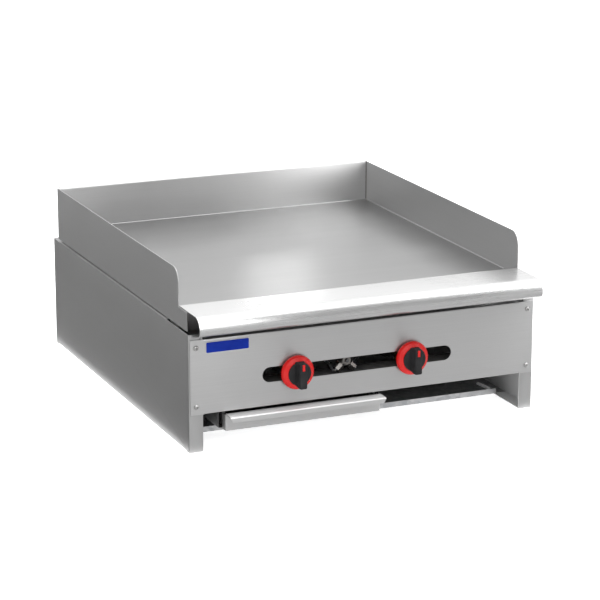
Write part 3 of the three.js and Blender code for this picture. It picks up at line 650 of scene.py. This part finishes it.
def round_block(x, y, z, radius, steps=3):
    """Block with rounded edges from its three spans."""
    bm = bmesh.new()
    bmesh.ops.create_cube(bm, size=1.0)
    size = Vector((x[1] - x[0], y[1] - y[0], z[1] - z[0]))
    bmesh.ops.scale(bm, vec=size, verts=bm.verts)
    middle = Vector(((x[0] + x[1]) / 2, (y[0] + y[1]) / 2, (z[0] + z[1]) / 2))
    bmesh.ops.translate(bm, vec=middle, verts=bm.verts)
    bmesh.ops.bevel(bm, geom=bm.edges[:], offset=radius, offset_type="OFFSET", segments=steps, profile=0.5,
                    affect="EDGES", clamp_overlap=True)
    return bm


def lofted(levels):
    """Closed skin through rings of equal length, capped at both ends."""
    bm = bmesh.new()
    rings = [[bm.verts.new(p) for p in ring] for ring in levels]
    count = len(rings[0])
    for first, second in zip(rings, rings[1:]):
        for k in range(count):
            after = (k + 1) % count
            bm.faces.new((first[k], first[after], second[after], second[k]))
    bm.faces.new(rings[0])
    bm.faces.new(rings[-1][::-1])
    return bm


def bar_ring(y, half, bottom, top, radius, shrink):
    points = rounded_path([
        (half - shrink, bottom + shrink, radius), (half - shrink, top - shrink, radius),
        (shrink - half, top - shrink, radius), (shrink - half, bottom + shrink, radius)], 5)
    return [(x * MM, y * MM, z * MM) for x, z in points]


def grip_mesh():
    """Cap and finger bar about the valve axis, with ribbed flanks and a nose at the lower end."""
    root, face = -16.2, -33.0
    root_half, taper = 8.2, 2.2

    def half_width(y):
        return root_half - taper * (y - root) / (face - root)

    levels = []
    for y in (root, -20.0, -24.0, -28.0, -31.0, -32.2, -32.75, face):
        share = (y - root) / (face - root)
        half = half_width(y)
        bottom = -19.0 - 2.5 * min(1.0, share * 1.7)
        round_over = 1.4 - math.sqrt(max(0.0, 1.4 ** 2 - max(0.0, -31.6 - y) ** 2))
        levels.append(bar_ring(y, half, bottom, 20.4, 2.6, round_over))
    bar = lofted(levels)
    cap = lathe(scaled_profile(rounded_path(KNOB["cap"], 3)), 72)
    ribs = []
    for side in (-1, 1):
        for y in (-21.0, -24.2, -27.4, -30.2):
            flank = side * half_width(y)
            span = sorted((flank - side * 0.9, flank + side * 0.55))
            rib = round_block([x * MM for x in span], ((y - 0.55) * MM, (y + 0.55) * MM),
                              (-16.5 * MM, 15.0 * MM), 0.35 * MM, 2)
            ribs.append(rib)
    groove = round_block((-2.4 * MM, 2.4 * MM), (-38 * MM, -13.7 * MM), (8.3 * MM, 19.5 * MM), 0.2 * MM, 1)
    bore = lathe(scaled_profile([(0, -20.1), (4.4, -20.1), (4.4, -2), (0, -2)]), 32)
    solid = combined(combined(bar, "UNION", cap, *ribs), "DIFFERENCE", groove, bore)
    return finish_mesh("knob_grip_shape", solid, 38.0)


def skirt_mesh():
    skirt = lathe(scaled_profile(rounded_path(KNOB["skirt"], 4)), 96)
    pointer = round_block((-2.1 * MM, 2.1 * MM), (-33.4 * MM, -14 * MM), (8.6 * MM, 19.2 * MM), 0.4 * MM, 3)
    return finish_mesh("knob_skirt_shape", combined(skirt, "UNION", pointer), 38.0)


def placed_copy(mesh, name, place):
    copy = mesh.copy()
    copy.name = name
    copy.transform(Matrix.Translation(place))
    return copy


def make_knobs():
    grip, skirt = grip_mesh(), skirt_mesh()
    for side in ("left", "right"):
        low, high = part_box(f"{side}_valve_spindle")
        place = Vector(((low.x + high.x) / 2, FLANGE_Y, (low.z + high.z) / 2))
        for kind, mesh, material in (("skirt", skirt, "red"), ("grip", grip, "black")):
            node = f"{side}_knob_{kind}"
            name = f"{node}_detail"
            add_piece(name, placed_copy(mesh, name, place), BODY_OF[node], MATERIALS[material],
                      (node,))


# ------------------------------------------------------------------ screws and badge
def screw_mesh():
    """Dome-head screw with a cross recess; head towards -Y, seat at Y = 0."""
    profile = [(0.0, -2.95, 0), (2.2, -2.7, 1.4), (3.7, -1.75, 1.2), (4.4, -0.5, 0.5), (4.4, 0.0, 0.1),
               (1.9, 0.0, 0), (1.9, 7.5, 0.2), (0.0, 7.5, 0)]
    head = lathe(scaled_profile(rounded_path(profile, 3)), 40)
    arms = [round_block(x, (-4 * MM, -1.6 * MM), z, 0.12 * MM, 1) for x, z in (
        ((-1.9 * MM, 1.9 * MM), (-0.42 * MM, 0.42 * MM)), ((-0.42 * MM, 0.42 * MM), (-1.9 * MM, 1.9 * MM)))]
    return finish_mesh("screw_shape", combined(head, "DIFFERENCE", *arms), 40.0)


def make_screws():
    shape = screw_mesh()
    for number in range(1, 5):
        for place, sign in (("panel", -1), ("rear", 1)):
            node = f"{place}_screw_{number}"
            low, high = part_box(node)
            seat = low.y + 3 * MM if sign < 0 else high.y - 3 * MM
            mesh = shape.copy()
            mesh.name = f"{node}_detail"
            turn = Matrix.Rotation(math.radians(23 * number + 11 * sign), 4, "Y")
            if sign > 0:
                turn = Matrix.Rotation(math.pi, 4, "Z") @ turn
            centre = Vector(((low.x + high.x) / 2, seat, (low.z + high.z) / 2))
            mesh.transform(Matrix.Translation(centre) @ turn)
            add_piece(mesh.name, mesh, "chassis", MATERIALS["screw"], (node,))


def make_badge():
    """Blank enamel plate: a pale border frame with a slightly raised blue field."""
    low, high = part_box("blank_badge")
    corner = 3 * MM
    frame_outline = rounded_path([
        (low.x, low.z, corner), (high.x, low.z, corner), (high.x, high.z, corner), (low.x, high.z, corner)], 6)
    base = extruded(frame_outline, (low.y + 0.35 * MM, high.y), "y")
    plate = add_piece("badge_border", finish_mesh("badge_border", base), "chassis", MATERIALS["border"],
                      ("blank_badge",))
    soften(plate, 0.00025)
    rim = 0.4 * MM
    field_outline = rounded_path([
        (low.x + rim, low.z + rim, 2.5 * MM), (high.x - rim, low.z + rim, 2.5 * MM),
        (high.x - rim, high.z - rim, 2.5 * MM), (low.x + rim, high.z - rim, 2.5 * MM)], 6)
    field = extruded(field_outline, (low.y, low.y + 0.6 * MM), "y")
    enamel = add_piece("badge_enamel", finish_mesh("badge_enamel", field), "chassis", MATERIALS["blue"])
    soften(enamel, 0.0003, 3)


# ------------------------------------------------------------------ gas train
def make_supply_pipe():
    """Steel pipe with a tapered male thread at its outer end."""
    low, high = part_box("gas_supply_pipe")
    outer, inner = (high.x - low.x) / 2, 10.5 * MM
    thread, pitch, depth = 19 * MM, 1.81 * MM, 1.1 * MM
    profile = [(inner, low.y), (outer, low.y), (outer, high.y - thread)]
    turns = int(thread / pitch)
    for k in range(turns):
        y = high.y - thread + k * pitch
        taper = 0.5 * MM * k / turns
        profile += [(outer - taper - depth * 0.9, y + pitch * 0.48), (outer - taper, y + pitch * 0.95)]
    profile += [(outer - depth - 0.8 * MM, high.y), (inner, high.y)]
    centre = ((low.x + high.x) / 2, 0.0, (low.z + high.z) / 2)
    mesh = finish_mesh("gas_supply_pipe_detail", lathe(profile, 56, centre), 30.0)
    add_piece(mesh.name, mesh, "chassis", MATERIALS["pipe"], ("gas_supply_pipe",))


def make_gas_train():
    make_supply_pipe()
    for node in ("gas_manifold", "manifold_cap", "inlet_elbow"):
        dressed(node, 0.0003, crease=38.0)
    for side in ("left", "right"):
        dressed(f"{side}_burner", 0.0003, crease=38.0)
        for part in ("air_shutter", "valve_body", "orifice", "valve_collar", "valve_spindle"):
            dressed(f"{side}_{part}", 0.0003, crease=38.0)
        dressed(f"{side}_pilot_nut", 0.0004, crease=38.0)
        dressed(f"{side}_pilot_tube", 0.0, crease=60.0)
        dressed(f"{side}_pilot_burner", 0.0002, crease=38.0)
    dressed("pilot_valve", 0.0004, crease=38.0)
    dressed("pilot_adjuster", 0.0002, crease=38.0)


# ------------------------------------------------------------------ studio
def emission_material(name, radiance):
    material = bpy.data.materials.new(name)
    material.use_nodes = True
    tree = material.node_tree
    tree.nodes.clear()
    glow = tree.nodes.new("ShaderNodeEmission")
    glow.inputs["Color"].default_value = (1, 1, 1, 1)
    glow.inputs["Strength"].default_value = radiance
    output = tree.nodes.new("ShaderNodeOutputMaterial")
    tree.links.new(glow.outputs["Emission"], output.inputs["Surface"])
    return material


def plane(name, corners, material):
    mesh = bpy.data.meshes.new(name)
    mesh.from_pydata(corners, [], [(0, 1, 2, 3)])
    mesh.materials.append(material)
    card = bpy.data.objects.new(name, mesh)
    scene.collection.objects.link(card)
    return card


def reflector(name, corners, radiance):
    """Studio card that only shows in reflections."""
    card = plane(name, corners, emission_material(name, radiance))
    card.visible_camera = False
    card.visible_diffuse = False
    card.visible_shadow = False
    card.visible_transmission = False
    card.visible_volume_scatter = False
    return card


def area_light(name, place, aim, size, power):
    data = bpy.data.lights.new(name, "AREA")
    data.shape = "RECTANGLE"
    data.size, data.size_y = size
    data.energy = power
    light = bpy.data.objects.new(name, data)
    light.location = place
    light.rotation_euler = (Vector(aim) - Vector(place)).to_track_quat("-Z", "Y").to_euler()
    scene.collection.objects.link(light)


def make_floor():
    material = bpy.data.materials.new("pale_floor")
    material.use_nodes = True
    shader = material.node_tree.nodes["Principled BSDF"]
    shader.inputs["Base Color"].default_value = (0.93, 0.93, 0.93, 1)
    shader.inputs["Roughness"].default_value = 0.9
    shader.inputs["Specular IOR Level"].default_value = 0.1
    shader.inputs["Emission Color"].default_value = (1, 1, 1, 1)
    shader.inputs["Emission Strength"].default_value = 0.7
    reach = 14.0
    plane("floor", [(-reach, -reach, 0), (reach, -reach, 0), (reach, reach, 0), (-reach, reach, 0)], material)


def make_world():
    """White surroundings that are dimmer in mirror reflections than in soft light."""
    world = bpy.data.worlds.new("studio_world")
    scene.world = world
    world.use_nodes = True
    tree = world.node_tree
    tree.nodes.clear()
    backgrounds = []
    for strength in (1.0, 0.48):
        background = tree.nodes.new("ShaderNodeBackground")
        background.inputs["Color"].default_value = (1, 1, 1, 1)
        background.inputs["Strength"].default_value = strength
        backgrounds.append(background.outputs["Background"])
    path = tree.nodes.new("ShaderNodeLightPath")
    choose = tree.nodes.new("ShaderNodeMixShader")
    output = tree.nodes.new("ShaderNodeOutputWorld")
    tree.links.new(path.outputs["Is Glossy Ray"], choose.inputs["Fac"])
    tree.links.new(backgrounds[0], choose.inputs[1])
    tree.links.new(backgrounds[1], choose.inputs[2])
    tree.links.new(choose.outputs["Shader"], output.inputs["Surface"])


def make_studio():
    make_world()
    make_floor()
    area_light("top_softbox", (0.2, -0.3, 2.6), (0, 0, 0.1), (3.0, 2.6), 60)
    area_light("front_softbox", (-0.6, -2.6, 1.9), (0, 0, 0.15), (2.6, 1.6), 28)
    front, left = CAD_BOX[0].y, CAD_BOX[0].x
    z = 0.4 * MM
    far = front - 5.0
    reflector("front_floor_card", [(-1.2, far, z), (2.5, far, z), (2.5, FLANGE_Y - 0.01, z),
                                   (-1.2, FLANGE_Y - 0.01, z)], 0.70)
    reflector("left_floor_card", [(left - 2.5, FLANGE_Y, z), (left - 0.004, FLANGE_Y, z),
                                  (left - 0.004, 2.5, z), (left - 2.5, 2.5, z)], 0.17)
    reflector("back_strip_card", [(0.325, 1.0, 0.05), (0.46, 0.95, 0.05), (0.46, 0.95, 0.48),
                                  (0.325, 1.0, 0.48)], 8.0)
    reflector("front_strip_card", [(0.60, -0.75, 0.25), (0.76, -0.72, 0.25), (0.76, -0.72, 1.2),
                                   (0.60, -0.75, 1.2)], 8.5)
    reflector("side_strip_card", [(-0.22, -0.75, 0.3), (-0.04, -0.75, 0.3), (-0.04, -0.75, 1.1),
                                  (-0.22, -0.75, 1.1)], 4.0)
    reflector("low_back_card", [(-2.5, 2.6, 0.3), (3.5, 2.6, 0.3), (3.5, 2.6, 1.05), (-2.5, 2.6, 1.05)], 0.65)
    reflector("high_back_card", [(-2.5, 2.6, 1.05), (3.5, 2.6, 1.05), (3.5, 1.2, 3.2), (-2.5, 1.2, 3.2)], 1.5)
    reflector("high_right_card", [(1.2, -1.2, 2.7), (3.2, -1.2, 2.7), (3.2, 1.2, 2.7), (1.2, 1.2, 2.7)], 2.2)
    scene.view_settings.view_transform = "Standard"
    scene.view_settings.look = "None"
    scene.view_settings.exposure = 0.0
    scene.view_settings.gamma = 1.0


make_camera()
make_casing()
make_cooking_top()
make_welds()
make_drawer()
make_knobs()
make_screws()
make_badge()
make_gas_train()
make_studio()
